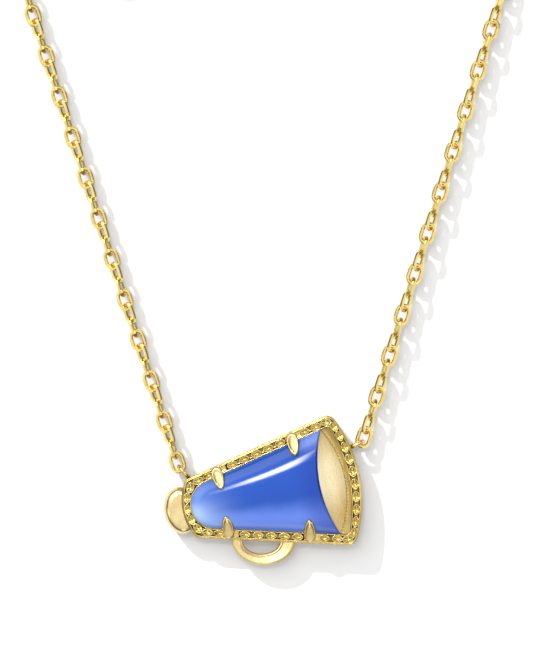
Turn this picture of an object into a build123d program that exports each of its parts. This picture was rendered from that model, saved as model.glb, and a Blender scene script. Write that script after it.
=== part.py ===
"""Megaphone pendant with a blue cabochon, on a fine cable chain with a lobster clasp.

Millimetres. The necklace lies on its back: +Z is up off the surface, +X runs along the
megaphone's axis from the mouthpiece to the mouth, and the chain leads away along +Y. The
origin is under the middle of the pendant, on the surface.
"""
import os
from math import atan2, cos, degrees, radians, sin, sqrt

from build123d import *

os.makedirs("parts", exist_ok=True)

# Megaphone outline, measured along its axis (x) and across it (y)
FLARE = 13.7  # half angle of the cone
NARROW_END = -8.1
WIDE_END = 9.9
HALF_WIDTH = 4.72  # at x = 0
NARROW_SAG = 0.8  # how far the end behind the mouthpiece bulges
WIDE_SAG = 1.75  # how far the bell's front edge bulges
WIDE_CORNER = 0.9
NARROW_CORNER = 0.6

# Heights above the surface
BACK_THICK = 0.5
BACK_STEP = 0.12  # the back plate is this much smaller than the frame all round
BACK_CHAMFER = 0.15
CHANNEL_Z = 1.72
RIM_Z = 2.0
SEAT_Z = 0.95
GIRDLE_Z = 1.9
MOUTH_Z = 1.35

# Stone
STONE_FLARE = 13.5
STONE_HALF_WIDTH = 3.66
STONE_TIP_X = -7.2
STONE_POINT_X = 6.95  # the two points beside the mouth
STONE_END_SAG = 1.15
DOME_RATIO = 0.3  # dome height over the stone's half width
SET_GAP = 0.03
FOIL_THICK = 0.1
CARRIER_WIDE = 0.6
OPENING_SAG = 1.0
OPENING_CORNER = 0.4

# Band round the stone
RIM_WIDE = 0.2
RIM_CHAMFER = 0.06
LIP_WIDE = 0.14
LIP_Z = 1.94
BELL_BAND = 1.12  # wider than the sides, at the bell's front edge
CUP_INSET = 0.53
CUP_PITCH = 1.245
CUP_RADIUS = 0.42
CUP_Z = (1.52, 1.9)
CUP_HOLLOW = 0.36
CUP_HOLLOW_Z = 1.92
CUP_CLEAR = 0.75  # from a prong's middle to the nearest cup's
MOUTH_SAG = 1.45
MOUTH_DISH = 0.25
MOUTH_DISH_X = 7.05
MOUTH_DISH_RADIUS = 4.5
MOUTH_RIM_Z = 1.8
TOOTH_COUNT = 34
TEETH_LEFT_OUT = 2  # at each corner of the mouth
TOOTH_RADIUS = 0.11

# Prongs: place along the axis, and side of the stone
PRONG_HALF_WIDE = 0.56
PRONG_HALF_LONG = 1.22
PRONG_HALF_HIGH = 0.5
PRONG_REACH = 1.4  # how far a tip reaches over the stone
PRONG_AT = {"left": -4.0, "right": 3.95}

# Mouthpiece and handle
MOUTHPIECE_X = -8.2
MOUTHPIECE_RADII = (1.75, 2.35)
MOUTHPIECE_Z = (0.2, 2.1)
MOUTHPIECE_ROUND = 0.75
HANDLE_X = -0.75
HANDLE_OUTER = (3.15, 2.4)
HANDLE_INNER = (1.85, 1.3)
HANDLE_INNER_SHIFT = -0.25
HANDLE_Z = (0.45, 1.65)
HANDLE_BEVEL = 0.2

# Loops soldered to the frame: x, y, and the direction that each one points
WIRE = 0.44
LOOP_RADIUS = 0.675
LOOPS = {"left": (-7.32, 3.78, 121.5), "right": (10.19, 3.18, 14.5)}

# Chain
CHAIN_Z = 0.9
LINK_LONG = 2.32
LINK_WIDE = 1.6
LINK_WIRE = 0.38
LINK_PITCH = 1.42
LINK_TWIST = 60.0
LINK_REACH = (LINK_LONG - LINK_WIRE) / 2  # from a link's middle to its end wire
LINK_GRIP = 0.52  # from a loop's far wire back to the end wire of the link round it
STRAND_LINKS = 35
STRAND_DIR = {"left": 97.0, "right": 61.8}

# Coils of stored chain, which both lie on the right of their strand and turn clockwise
COIL_TURN = 11.0  # radius of the outermost turn
COIL_OUT = 11.8
COIL_IN = 6.0
COIL_HIGH = 1.7
COIL_LEAD = {"left": 6.6, "right": 4.6}  # straight run that leads into the coil
LEAD_GAP = 0.3

COIL_TURNS = 2.35

# Clasp and rings at the chain's ends, which lie inside the coils
RING_AHEAD = 27.0  # degrees that a ring lies ahead of the last turn's end
RING_FROM_COIL = 4.3  # from the coil's middle to the ring's
RING_RADIUS = 0.9
RING_WIRE = 0.4
RING_Z = 1.12
END_RING_RADIUS = 1.45
END_RING_WIRE = 0.6
RING_BITE = 0.2  # from a ring's middle to the wire that hangs in it
EYE_HOLE = 0.5
EYE_RIM = 0.4
EYE_Z = (0.65, 1.15)
HOOK_X = 4.6  # from the eye to the hook's middle
HOOK_RADII = (3.3, 2.2)
HOOK_SHIFT = 0.3
HOOK_INNER = (1.9, 1.15)
CLASP_Z = (0.15, 1.75)
CLASP_ROUND = 0.3
SLOT_Z = (0.55, 1.35)
SLOT_WIDE = 3.38
GATE_X = (2.95, 6.4)
LEVER_END_X = 6.2
LEVER_TOP_Y = -0.35
LEVER_Z = (0.6, 1.3)
LEVER_GAP = 0.05
LEVER_HUB = 0.62
THUMB_AT = (3.35, -2.35)
THUMB_RADIUS = 0.55
PIN_AT = (2.35, -0.85)
PIN_RADIUS = 0.25
PIN_CLEARANCE = 0.04
SPRING_POCKET = (0.52, 0.95)  # radius, and the height of its floor
SPRING_RADIUS = 0.4
SPRING_WIRE = 0.16
SPRING_Z = (1.06, 1.18)


def tan_of(angle):
    return sin(radians(angle)) / cos(radians(angle))


def half_width(x):
    return HALF_WIDTH + x * tan_of(FLARE)


def along(angle, distance):
    """Vector in the XY plane."""
    return Vector(cos(radians(angle)), sin(radians(angle))) * distance


def save(piece, label):
    piece.part.label = label
    export_step(piece.part, f"parts/{label}.step")


def megaphone(inset=0.0):
    """Outline of the frame, moved inwards by inset."""
    narrow_x = NARROW_END + NARROW_SAG
    wide_x = WIDE_END - WIDE_SAG
    narrow_y, wide_y = half_width(narrow_x), half_width(wide_x)
    with BuildSketch() as face:
        with BuildLine():
            Line((narrow_x, narrow_y), (wide_x, wide_y))
            ThreePointArc((wide_x, wide_y), (WIDE_END, 0), (wide_x, -wide_y))
            Line((wide_x, -wide_y), (narrow_x, -narrow_y))
            ThreePointArc((narrow_x, -narrow_y), (NARROW_END, 0), (narrow_x, narrow_y))
        make_face()
        fillet(face.vertices().group_by(Axis.X)[-1], WIDE_CORNER)
        fillet(face.vertices().group_by(Axis.X)[0], NARROW_CORNER)
        if inset:
            offset(amount=-inset, mode=Mode.REPLACE)
    return face.sketch


# The stone's straight sides and the round nose that is tangent to them
slope = tan_of(STONE_FLARE)
lean = cos(radians(STONE_FLARE))
nose_radius = lean * (STONE_HALF_WIDTH + slope * STONE_TIP_X) / (1 - lean * slope)
nose_x = STONE_TIP_X + nose_radius
nose_end = (nose_x - nose_radius * sin(radians(STONE_FLARE)), nose_radius * lean)
point_y = STONE_HALF_WIDTH + slope * STONE_POINT_X
bell_inner_x = WIDE_END - BELL_BAND


def opening(grow=0.0):
    """The frame's opening, which holds both the stone and the mouth."""
    end_x = bell_inner_x - OPENING_SAG
    end_y = STONE_HALF_WIDTH + slope * end_x
    with BuildSketch() as face:
        with BuildLine():
            ThreePointArc(nose_end, (STONE_TIP_X, 0), (nose_end[0], -nose_end[1]))
            Line((nose_end[0], -nose_end[1]), (end_x, -end_y))
            ThreePointArc((end_x, -end_y), (bell_inner_x, 0), (end_x, end_y))
            Line((end_x, end_y), nose_end)
        make_face()
        fillet(face.vertices().group_by(Axis.X)[-1], OPENING_CORNER)
        offset(amount=SET_GAP + grow, mode=Mode.REPLACE)
    return face.sketch


def end_arc(sag):
    """Closed half-disc to the left of an arc between the stone's two points."""
    with BuildSketch() as face:
        with BuildLine():
            ThreePointArc((STONE_POINT_X, point_y), (STONE_POINT_X + sag, 0), (STONE_POINT_X, -point_y))
            Polyline(
                (STONE_POINT_X, -point_y),
                (STONE_TIP_X - 1, -point_y),
                (STONE_TIP_X - 1, point_y),
                (STONE_POINT_X, point_y),
            )
        make_face()
    return face.sketch


def stone_outline():
    with BuildSketch() as face:
        add(opening(-SET_GAP))
        add(end_arc(-STONE_END_SAG), mode=Mode.INTERSECT)
    return face.sketch


def cup_places():
    """Points at equal steps along the channel, less those under the prongs."""
    track = megaphone(CUP_INSET).faces()[0].outer_wire()
    count = round(track.length / CUP_PITCH)
    points = [track @ (i / count) for i in range(count)]
    return [(p.X, p.Y) for p in points if all(abs(p.X - x) > CUP_CLEAR for x in PRONG_AT.values())]


# Back plate: closes the frame, with a softened edge to lie on
with BuildPart() as back_plate:
    with BuildSketch():
        add(megaphone(BACK_STEP))
    extrude(amount=BACK_THICK)
    chamfer(back_plate.edges().group_by(Axis.Z)[0], BACK_CHAMFER)
save(back_plate, "back_plate")

# Frame: band with an outer rim, an inner lip and a row of hollow cups between them
cups = cup_places()
with BuildPart() as frame:
    with BuildSketch(Plane.XY.offset(BACK_THICK)):
        add(megaphone())
        add(opening(), mode=Mode.SUBTRACT)
    extrude(amount=CHANNEL_Z - BACK_THICK)
    with BuildSketch(Plane.XY.offset(CHANNEL_Z)):
        add(megaphone())
        add(megaphone(RIM_WIDE), mode=Mode.SUBTRACT)
    extrude(amount=RIM_Z - CHANNEL_Z)
    chamfer(frame.edges().group_by(Axis.Z)[-1], RIM_CHAMFER)
    with BuildSketch(Plane.XY.offset(CHANNEL_Z)):
        add(opening(LIP_WIDE))
        add(opening(), mode=Mode.SUBTRACT)
    extrude(amount=LIP_Z - CHANNEL_Z)
    with BuildSketch(Plane.XY.offset(CUP_Z[0])):
        with Locations(*cups):
            Circle(CUP_RADIUS)
        add(opening(), mode=Mode.SUBTRACT)
    extrude(amount=CUP_Z[1] - CUP_Z[0])
    with Locations(*[(x, y, CUP_HOLLOW_Z) for x, y in cups]):
        Sphere(CUP_HOLLOW, mode=Mode.SUBTRACT)
save(frame, "frame")

# Foil under the stone, and the carrier that lifts both to the seat
with BuildPart() as stone_carrier:
    with BuildSketch(Plane.XY.offset(BACK_THICK)):
        add(stone_outline())
        offset(amount=-CARRIER_WIDE, mode=Mode.SUBTRACT)
    extrude(amount=SEAT_Z - FOIL_THICK - BACK_THICK)
save(stone_carrier, "stone_carrier")

with BuildPart() as stone_foil:
    with BuildSketch(Plane.XY.offset(SEAT_Z - FOIL_THICK)):
        add(stone_outline())
    extrude(amount=FOIL_THICK)
save(stone_foil, "stone_foil")

# Stone: straight girdle under a flattened half cone with a round nose
with BuildPart() as dome:
    with BuildSketch():
        with BuildLine():
            nose = CenterArc((nose_x, 0), nose_radius, 180, -(90 - STONE_FLARE))
            Line(nose @ 1, (WIDE_END, STONE_HALF_WIDTH + slope * WIDE_END))
            Polyline((WIDE_END, STONE_HALF_WIDTH + slope * WIDE_END), (WIDE_END, 0), nose @ 0)
        make_face()
    revolve(axis=Axis.X, revolution_arc=180)
    scale(by=(1, 1, DOME_RATIO))

with BuildPart() as rough_stone:
    with BuildSketch(Plane.XY.offset(SEAT_Z)):
        Rectangle(4 * WIDE_END, 4 * WIDE_END)
    extrude(amount=GIRDLE_Z - SEAT_Z)
    add(dome.part.moved(Location((0, 0, GIRDLE_Z))))

with BuildPart() as stone:
    with BuildSketch(Plane.XY.offset(SEAT_Z)):
        add(stone_outline())
    extrude(amount=WIDE_END)
    add(rough_stone.part, mode=Mode.INTERSECT)
save(stone, "stone")

# Mouth: dished floor of the bell, and the toothed rim along its front
with BuildPart() as mouth_plate:
    with BuildSketch(Plane.XY.offset(BACK_THICK)):
        add(opening(-SET_GAP))
        add(end_arc(MOUTH_SAG - SET_GAP), mode=Mode.INTERSECT)
        add(end_arc(-STONE_END_SAG + SET_GAP), mode=Mode.SUBTRACT)
    extrude(amount=MOUTH_Z - BACK_THICK)
    with Locations((MOUTH_DISH_X, 0, MOUTH_Z - MOUTH_DISH + MOUTH_DISH_RADIUS)):
        Cylinder(MOUTH_DISH_RADIUS, 3 * HALF_WIDTH, rotation=(90, 0, 0), mode=Mode.SUBTRACT)
save(mouth_plate, "mouth_plate")

with BuildPart() as mouth_rim:
    with BuildSketch(Plane.XY.offset(BACK_THICK)):
        add(opening(-SET_GAP))
        add(end_arc(MOUTH_SAG), mode=Mode.SUBTRACT)
    extrude(amount=MOUTH_RIM_Z - BACK_THICK)
    with BuildLine(mode=Mode.PRIVATE) as front:
        ThreePointArc((STONE_POINT_X, point_y), (STONE_POINT_X + MOUTH_SAG, 0), (STONE_POINT_X, -point_y))
    with BuildSketch(Plane.XY.offset(MOUTH_Z)):
        numbers = range(TEETH_LEFT_OUT, TOOTH_COUNT - TEETH_LEFT_OUT)
        teeth = [front.line @ ((i + 0.5) / TOOTH_COUNT) for i in numbers]
        with Locations(*[(p.X, p.Y) for p in teeth]):
            Circle(TOOTH_RADIUS)
    extrude(amount=MOUTH_RIM_Z - MOUTH_Z)
save(mouth_rim, "mouth_rim")

# Prongs: domed claws that start on the band and lie up the slope of the stone
with BuildPart() as claw:
    Sphere(1)
    scale(by=(PRONG_HALF_WIDE, PRONG_HALF_LONG, PRONG_HALF_HIGH))

for end, x in PRONG_AT.items():
    tip_y = STONE_HALF_WIDTH + slope * x - PRONG_REACH
    base_y = tip_y + 2 * PRONG_HALF_LONG
    middle_y = (tip_y + base_y) / 2
    tip_z = GIRDLE_Z + DOME_RATIO * sqrt((STONE_HALF_WIDTH + slope * x) ** 2 - tip_y**2)
    rise = degrees(atan2(tip_z - RIM_Z, 2 * PRONG_HALF_LONG))
    for side, name in ((1, "upper"), (-1, "lower")):
        at = Location((x, side * middle_y, (tip_z + RIM_Z) / 2), (-side * rise, 0, 0))
        with BuildPart() as prong:
            add(claw.part.moved(at))
            add(frame.part, mode=Mode.SUBTRACT)
            add(stone.part, mode=Mode.SUBTRACT)
            split(bisect_by=Plane.XY.offset(CHANNEL_Z), keep=Keep.TOP)
            crumbs = prong.solids().sort_by(SortBy.VOLUME)[:-1]
            add(crumbs, mode=Mode.SUBTRACT)
        save(prong, f"prong_{name}_{end}")

# Mouthpiece: a pillow behind the narrow end
with BuildPart() as mouthpiece:
    with BuildSketch(Plane.XY.offset(MOUTHPIECE_Z[0])):
        with Locations((MOUTHPIECE_X, 0)):
            Ellipse(*MOUTHPIECE_RADII)
        add(megaphone(), mode=Mode.SUBTRACT)
        with Locations((-MOUTHPIECE_X, 0)):
            Rectangle(-3 * MOUTHPIECE_X, 3 * MOUTHPIECE_RADII[1], mode=Mode.SUBTRACT)
    extrude(amount=MOUTHPIECE_Z[1] - MOUTHPIECE_Z[0])
    fillet(mouthpiece.edges().filter_by(GeomType.ELLIPSE), MOUTHPIECE_ROUND)
save(mouthpiece, "mouthpiece")


def handle_waste():
    """Everything above the megaphone's lower side."""
    reach = 2 * max(HANDLE_OUTER)
    with BuildSketch() as face:
        with Locations(Location((HANDLE_X, -half_width(HANDLE_X)), -FLARE)):
            with Locations((0, reach / 2)):
                Rectangle(reach * 2, reach)
    return face.sketch


# Handle: half ring that grows out of the lower side
with BuildPart() as handle:
    with BuildSketch(Plane.XY.offset(HANDLE_Z[0])):
        with Locations(Location((HANDLE_X, -half_width(HANDLE_X)), -FLARE)):
            Ellipse(*HANDLE_OUTER)
            with Locations((HANDLE_INNER_SHIFT, 0)):
                Ellipse(*HANDLE_INNER, mode=Mode.SUBTRACT)
        add(megaphone(), mode=Mode.SUBTRACT)
        add(handle_waste(), mode=Mode.SUBTRACT)
    extrude(amount=HANDLE_Z[1] - HANDLE_Z[0])
    chamfer(handle.edges().group_by(Axis.Z)[-1].filter_by(GeomType.ELLIPSE), HANDLE_BEVEL)
save(handle, "handle")

# Loops: rings that stand on edge, cut where they are soldered to the frame's wall
bell_half = half_width(WIDE_END - WIDE_SAG)
bell_radius = (bell_half**2 + WIDE_SAG**2) / (2 * WIDE_SAG)
bell_middle = Vector(WIDE_END - bell_radius, 0, 0)
for side, (x, y, turn) in LOOPS.items():
    if side == "left":
        wall = Plane((0, HALF_WIDTH, 0), z_dir=along(90 + FLARE, 1))
    else:
        out = (Vector(x, y, 0) - bell_middle).normalized()
        wall = Plane(bell_middle + out * bell_radius, z_dir=out)
    with BuildPart() as loop:
        with Locations(Plane((x, y, CHAIN_Z), x_dir=along(turn, 1), z_dir=along(turn - 90, 1))):
            Torus(LOOP_RADIUS, WIRE / 2)
        split(bisect_by=wall, keep=Keep.TOP)
    save(loop, f"{side}_loop")

# One link of the cable chain, along X
with BuildPart() as link:
    side_y = (LINK_WIDE - LINK_WIRE) / 2
    bend_x = LINK_REACH - side_y
    with BuildLine() as half_way_round:
        Line((0, side_y), (bend_x, side_y))
        ThreePointArc((bend_x, side_y), (bend_x + side_y, 0), (bend_x, -side_y))
        Line((bend_x, -side_y), (0, -side_y))
    with BuildSketch(Plane.YZ):
        with Locations((side_y, 0)):
            Circle(LINK_WIRE / 2)
    sweep(path=half_way_round.line)
    mirror(about=Plane.YZ)


def placed_link(start, turn, count):
    """Location of the link that is count pitches along a strand from its first link."""
    middle = start + along(turn, count * LINK_PITCH)
    return Location(middle, (0, 0, turn)) * Location((0, 0, 0), (count * LINK_TWIST, 0, 0))


def clasp_plane(at, turn):
    """Plane of the clasp, with its middle on the eye and x towards the hook's tip."""
    return Plane((at.X, at.Y, 0), x_dir=along(turn, 1), z_dir=(0, 0, 1))


def hook_outline(grow):
    with BuildSketch() as face:
        with Locations((HOOK_X, 0)):
            Ellipse(HOOK_RADII[0] + grow, HOOK_RADII[1] + grow)
        with Locations((HOOK_X + HOOK_SHIFT, 0)):
            Ellipse(HOOK_INNER[0] - grow, HOOK_INNER[1] - grow, mode=Mode.SUBTRACT)
    return face.sketch


def save_clasp(plane):
    """Lobster clasp: hooked body, sprung lever that shuts it, and the lever's pin."""
    with BuildPart() as body:
        with BuildSketch(Plane.XY.offset(CLASP_Z[0])):
            add(hook_outline(0))
        extrude(amount=CLASP_Z[1] - CLASP_Z[0])
        fillet(body.edges().filter_by(GeomType.ELLIPSE), CLASP_ROUND)
        with BuildSketch(Plane.XY.offset(EYE_Z[0])):
            Circle(EYE_HOLE + EYE_RIM)
            with Locations((HOOK_X / 4, 0)):
                Rectangle(HOOK_X / 2, 2 * EYE_HOLE)
        extrude(amount=EYE_Z[1] - EYE_Z[0])
        with BuildSketch():
            Circle(EYE_HOLE)
            with Locations(PIN_AT):
                Circle(PIN_RADIUS)
            with Locations(((GATE_X[0] + GATE_X[1]) / 2, -HOOK_RADII[1] / 2)):
                Rectangle(GATE_X[1] - GATE_X[0], HOOK_RADII[1])
        extrude(amount=2 * CLASP_Z[1], mode=Mode.SUBTRACT)
        with BuildSketch(Plane.XY.offset(SLOT_Z[0])):
            with Locations(PIN_AT):
                Circle(LEVER_HUB + 2 * LEVER_GAP)
            with Locations(((PIN_AT[0] + GATE_X[0]) / 2, PIN_AT[1])):
                Rectangle(GATE_X[0] - PIN_AT[0] + LEVER_GAP, SLOT_WIDE)
        extrude(amount=SLOT_Z[1] - SLOT_Z[0], mode=Mode.SUBTRACT)
    with BuildPart() as lever:
        with BuildSketch(Plane.XY.offset(LEVER_Z[0])):
            add(hook_outline(-LEVER_GAP))
            with Locations(((PIN_AT[0] + LEVER_END_X) / 2, LEVER_TOP_Y - HOOK_RADII[1])):
                Rectangle(LEVER_END_X - PIN_AT[0], 2 * HOOK_RADII[1], mode=Mode.INTERSECT)
            with Locations(PIN_AT):
                Circle(LEVER_HUB)
            with Locations(THUMB_AT):
                Circle(THUMB_RADIUS)
        extrude(amount=LEVER_Z[1] - LEVER_Z[0])
        with Locations((*PIN_AT, LEVER_Z[1])):
            CounterBoreHole(PIN_RADIUS + PIN_CLEARANCE, SPRING_POCKET[0], LEVER_Z[1] - SPRING_POCKET[1])
    with BuildPart() as spring:
        with Locations(*[(*PIN_AT, z) for z in SPRING_Z]):
            Torus(SPRING_RADIUS, SPRING_WIRE / 2)
    with BuildPart() as pin:
        with BuildSketch(Plane.XY.offset(CLASP_Z[0])):
            with Locations(PIN_AT):
                Circle(PIN_RADIUS)
        extrude(amount=CLASP_Z[1] - CLASP_Z[0])
    for piece, label in ((body, "body"), (lever, "lever"), (spring, "spring"), (pin, "pin")):
        with BuildPart() as placed:
            add(piece.part.moved(plane.location))
        save(placed, f"clasp_{label}")


for side, turn in STRAND_DIR.items():
    loop_x, loop_y, loop_turn = LOOPS[side]
    grip = Vector(loop_x, loop_y, CHAIN_Z) + along(loop_turn, LOOP_RADIUS)
    start = grip + along(turn, LINK_REACH - LINK_GRIP)
    for i, name in enumerate(("end_link", "second_link")):
        with BuildPart() as single:
            add(link.part.moved(placed_link(start, turn, i)))
        save(single, f"{side}_{name}")

    with BuildPart() as strand:
        add([link.part.moved(placed_link(start, turn, i)) for i in range(2, STRAND_LINKS + 1)])
    save(strand, f"{side}_strand")

    lead_start = start + along(turn, STRAND_LINKS * LINK_PITCH + LINK_LONG / 2 + LEAD_GAP)
    tangent = lead_start + along(turn, COIL_LEAD[side])
    coil_middle = tangent + along(turn - 90, COIL_TURN)
    lead_middle = (lead_start + tangent) * 0.5
    with BuildPart() as coil:
        with BuildSketch(Plane.XY.offset(CHAIN_Z - COIL_HIGH / 2)):
            with Locations((coil_middle.X, coil_middle.Y)):
                Circle(COIL_OUT)
                Circle(COIL_IN, mode=Mode.SUBTRACT)
            with Locations(Location((lead_middle.X, lead_middle.Y), turn)):
                Rectangle(COIL_LEAD[side], LINK_WIDE)
        extrude(amount=COIL_HIGH)
    save(coil, f"{side}_coil")

    ring_turn = turn + 90 - 360 * COIL_TURNS - RING_AHEAD
    ring_middle = coil_middle + along(ring_turn, RING_FROM_COIL)
    ring_middle.Z = RING_Z
    with BuildPart(Plane(ring_middle, x_dir=along(ring_turn, 1), z_dir=along(ring_turn - 90, 1))) as ring:
        Torus(RING_RADIUS, RING_WIRE / 2)
    save(ring, f"{side}_ring")

    bite = ring_middle - along(ring_turn, RING_BITE)
    if side == "left":
        eye = bite - along(ring_turn, EYE_HOLE + EYE_RIM / 2)
        save_clasp(clasp_plane(eye, ring_turn + 180))
    else:
        middle = bite - along(ring_turn, END_RING_RADIUS)
        with BuildPart() as end_ring:
            with Locations((middle.X, middle.Y, CHAIN_Z)):
                Torus(END_RING_RADIUS, END_RING_WIRE / 2)
        save(end_ring, "end_ring")
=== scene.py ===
from math import asin, atan2, cos, pi, radians, sin, sqrt

import bmesh
import bpy
import numpy as np
from mathutils import Matrix, Vector


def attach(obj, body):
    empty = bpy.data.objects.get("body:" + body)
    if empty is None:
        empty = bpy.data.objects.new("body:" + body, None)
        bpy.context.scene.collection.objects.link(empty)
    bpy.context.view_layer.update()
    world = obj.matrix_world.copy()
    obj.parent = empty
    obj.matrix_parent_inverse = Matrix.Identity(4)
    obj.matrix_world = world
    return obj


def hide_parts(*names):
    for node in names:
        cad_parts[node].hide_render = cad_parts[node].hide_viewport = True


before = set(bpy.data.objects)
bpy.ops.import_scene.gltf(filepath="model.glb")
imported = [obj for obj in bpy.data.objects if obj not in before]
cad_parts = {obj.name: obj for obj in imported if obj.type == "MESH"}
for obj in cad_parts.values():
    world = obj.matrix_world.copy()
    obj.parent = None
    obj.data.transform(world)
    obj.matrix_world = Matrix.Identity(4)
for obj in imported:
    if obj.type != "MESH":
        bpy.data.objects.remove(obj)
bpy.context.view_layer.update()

MM = 0.001
scene = bpy.context.scene

# ---------------------------------------------------------------- camera
PAGE_TURN = -10.9  # degrees from the page's upright to the megaphone's own axes
CAMERA_AT = (3.449, 15.79, 600.0)  # mm, straight above the middle of the view
FIELD_HIGH = 66.6  # mm seen from top to bottom at the surface
SENSOR = 36.0  # mm
CLIP = (0.01, 10.0)  # m

camera_data = bpy.data.cameras.new("camera")
camera_data.sensor_width = SENSOR
camera_data.lens = SENSOR * CAMERA_AT[2] / FIELD_HIGH
camera_data.clip_start, camera_data.clip_end = CLIP
camera = bpy.data.objects.new("camera", camera_data)
camera.location = Vector(CAMERA_AT) * MM
camera.rotation_euler = (0, 0, radians(PAGE_TURN))
scene.collection.objects.link(camera)
scene.camera = camera

# ---------------------------------------------------------------- the chain's sizes, as in the CAD source
# mm and degrees; angles are from the megaphone's axis, anticlockwise
CHAIN_Z = 0.9
LINK_LONG = 2.34
LINK_WIDE = 1.6
LINK_WIRE = 0.42
LINK_PITCH = 1.42
LINK_REACH = 0.97  # from a link's middle to the middle of its end wire
LOOP_RADIUS = 0.675
LINK_GRIP = 0.52  # from a loop's far wire back to the end wire of the link round it
STRAND_LINKS = 35
LEAD_GAP = 0.3  # between the strand's last link and the coil's lead
CAD_LINK_LONG = 2.32
LOOPS = {"left": (-7.32, 3.78, 121.5), "right": (10.19, 3.18, 14.5)}  # x, y, angle
STRAND_DIR = {"left": 97.0, "right": 61.8}
LINK_TWISTS = {"left": (0.0, 76.0, 126.0), "right": (0.0, 54.0, 104.0)}  # link by link, then again
COIL_TURN = 11.0  # radius of the outermost turn
COIL_LEAD = {"left": 6.6, "right": 4.6}
COIL_TURNS = 2.35
COIL_PITCH = 1.72
COIL_POINTS = 16  # route points in each turn
LEAD_POINTS = (2.6, 3.6)  # from the coil's first point on, and back from where its turns begin
RING_AHEAD = 27.0  # degrees that a ring lies ahead of the last turn's end
RING_FROM_COIL = 4.3  # from the coil's middle to the ring's
RING_RADIUS = 0.9
RING_BEND = (11.0, 6.3)  # degrees past the ring, and mm from the coil's middle, of the last bend


def along(angle, distance, z=0.0):
    """Vector in the surface's plane, in mm."""
    return Vector((cos(radians(angle)) * distance, sin(radians(angle)) * distance, z))


# ---------------------------------------------------------------- mesh helpers
def new_object(name, mesh):
    piece = bpy.data.objects.new(name, mesh)
    scene.collection.objects.link(piece)
    return piece


def mesh_from(name, verts, faces, smooth=False):
    """Mesh from points in mm, with its faces turned outwards."""
    mesh = bpy.data.meshes.new(name)
    mesh.from_pydata([tuple(c * MM for c in v) for v in verts], [], faces)
    mesh.validate()
    work = bmesh.new()
    work.from_mesh(mesh)
    bmesh.ops.recalc_face_normals(work, faces=work.faces)
    work.to_mesh(mesh)
    work.free()
    mesh.update()
    mesh.polygons.foreach_set("use_smooth", [smooth] * len(mesh.polygons))
    return mesh


def band_faces(first, second, rows):
    """Faces between two neighbouring closed rows of points, given by the rows' first indices."""
    return [(first + j, second + j, second + (j + 1) % rows, first + (j + 1) % rows) for j in range(rows)]


ROUTE_FINENESS = 12
WALK_STEP = 0.4  # mm to each side that the direction along a route is taken over


def route_line(points):
    """Points along the smooth NURBS curve that has the route's points, in mm, as its control points."""
    data = bpy.data.curves.new("route", "CURVE")
    data.dimensions = "3D"
    spline = data.splines.new("NURBS")
    spline.points.add(len(points) - 1)
    for control, point in zip(spline.points, points):
        control.co = (*point, 1)
    spline.order_u = 3
    spline.use_endpoint_u = True
    spline.resolution_u = ROUTE_FINENESS
    holder = bpy.data.objects.new("route", data)
    mesh = bpy.data.meshes.new_from_object(holder)
    line = [v.co.copy() for v in mesh.vertices]
    bpy.data.meshes.remove(mesh)
    bpy.data.objects.remove(holder)
    bpy.data.curves.remove(data)
    return line


def walk(line):
    """Function from a distance along the line to the point and direction there, and the line's length."""
    steps = [(b - a).length for a, b in zip(line, line[1:])]
    ends = np.concatenate([[0.0], np.cumsum(steps)])
    xyz = np.array([tuple(p) for p in line])

    def at(distance):
        return Vector([float(np.interp(distance, ends, xyz[:, k])) for k in range(3)])

    def place(distance):
        ahead, behind = at(min(distance + WALK_STEP, ends[-1])), at(max(distance - WALK_STEP, 0.0))
        return at(distance), (ahead - behind).normalized()

    return place, float(ends[-1])


# ---------------------------------------------------------------- chain
LINK_BEND_SIDES = 7
LINK_SECTION_SIDES = 8


def link_shape():
    """One faceted link along X, in mm: rows of points round the wire, one after the other along it."""
    side_y = (LINK_WIDE - LINK_WIRE) / 2
    bend_x = (LINK_LONG - LINK_WIRE) / 2 - side_y
    centres = []
    for end in (0, 1):
        for i in range(LINK_BEND_SIDES + 1):
            angle = -pi / 2 + pi * i / LINK_BEND_SIDES + pi * end
            middle = Vector(((1, -1)[end] * bend_x, 0, 0))
            out = Vector((cos(angle), sin(angle), 0))
            centres.append((middle + out * side_y, out))
    rows = []
    for centre, out in centres:
        row = []
        for k in range(LINK_SECTION_SIDES):
            turn = 2 * pi * (k + 0.5) / LINK_SECTION_SIDES
            row.append(centre + (out * cos(turn) + Vector((0, 0, 1)) * sin(turn)) * LINK_WIRE / 2)
        rows.append(row)
    return rows


LINK_ROWS = link_shape()


def chain_mesh(name, places):
    """Links at the given (point, direction, twist in degrees), in one mesh."""
    verts, faces = [], []
    n, m = len(LINK_ROWS), LINK_SECTION_SIDES
    for middle, direction, twist in places:
        across = Vector((0, 0, 1)).cross(direction).normalized()
        turn = Matrix((direction, across, direction.cross(across))).transposed()
        turn = turn @ Matrix.Rotation(radians(twist), 3, "X")
        base = len(verts)
        verts += [tuple(middle + turn @ p) for row in LINK_ROWS for p in row]
        for i in range(n):
            faces += band_faces(base + i * m, base + (i + 1) % n * m, m)
    return mesh_from(name, verts, faces)


def twist_of(side, number):
    return LINK_TWISTS[side][number % 3]


chain_pieces = []


def chain_piece(node, mesh):
    """Detailed links in the place of one CAD node of the chain, whose body has the same name."""
    piece = new_object(f"{node}_cut", mesh)
    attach(piece, node)
    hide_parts(node)
    chain_pieces.append(piece)
    return piece


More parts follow.
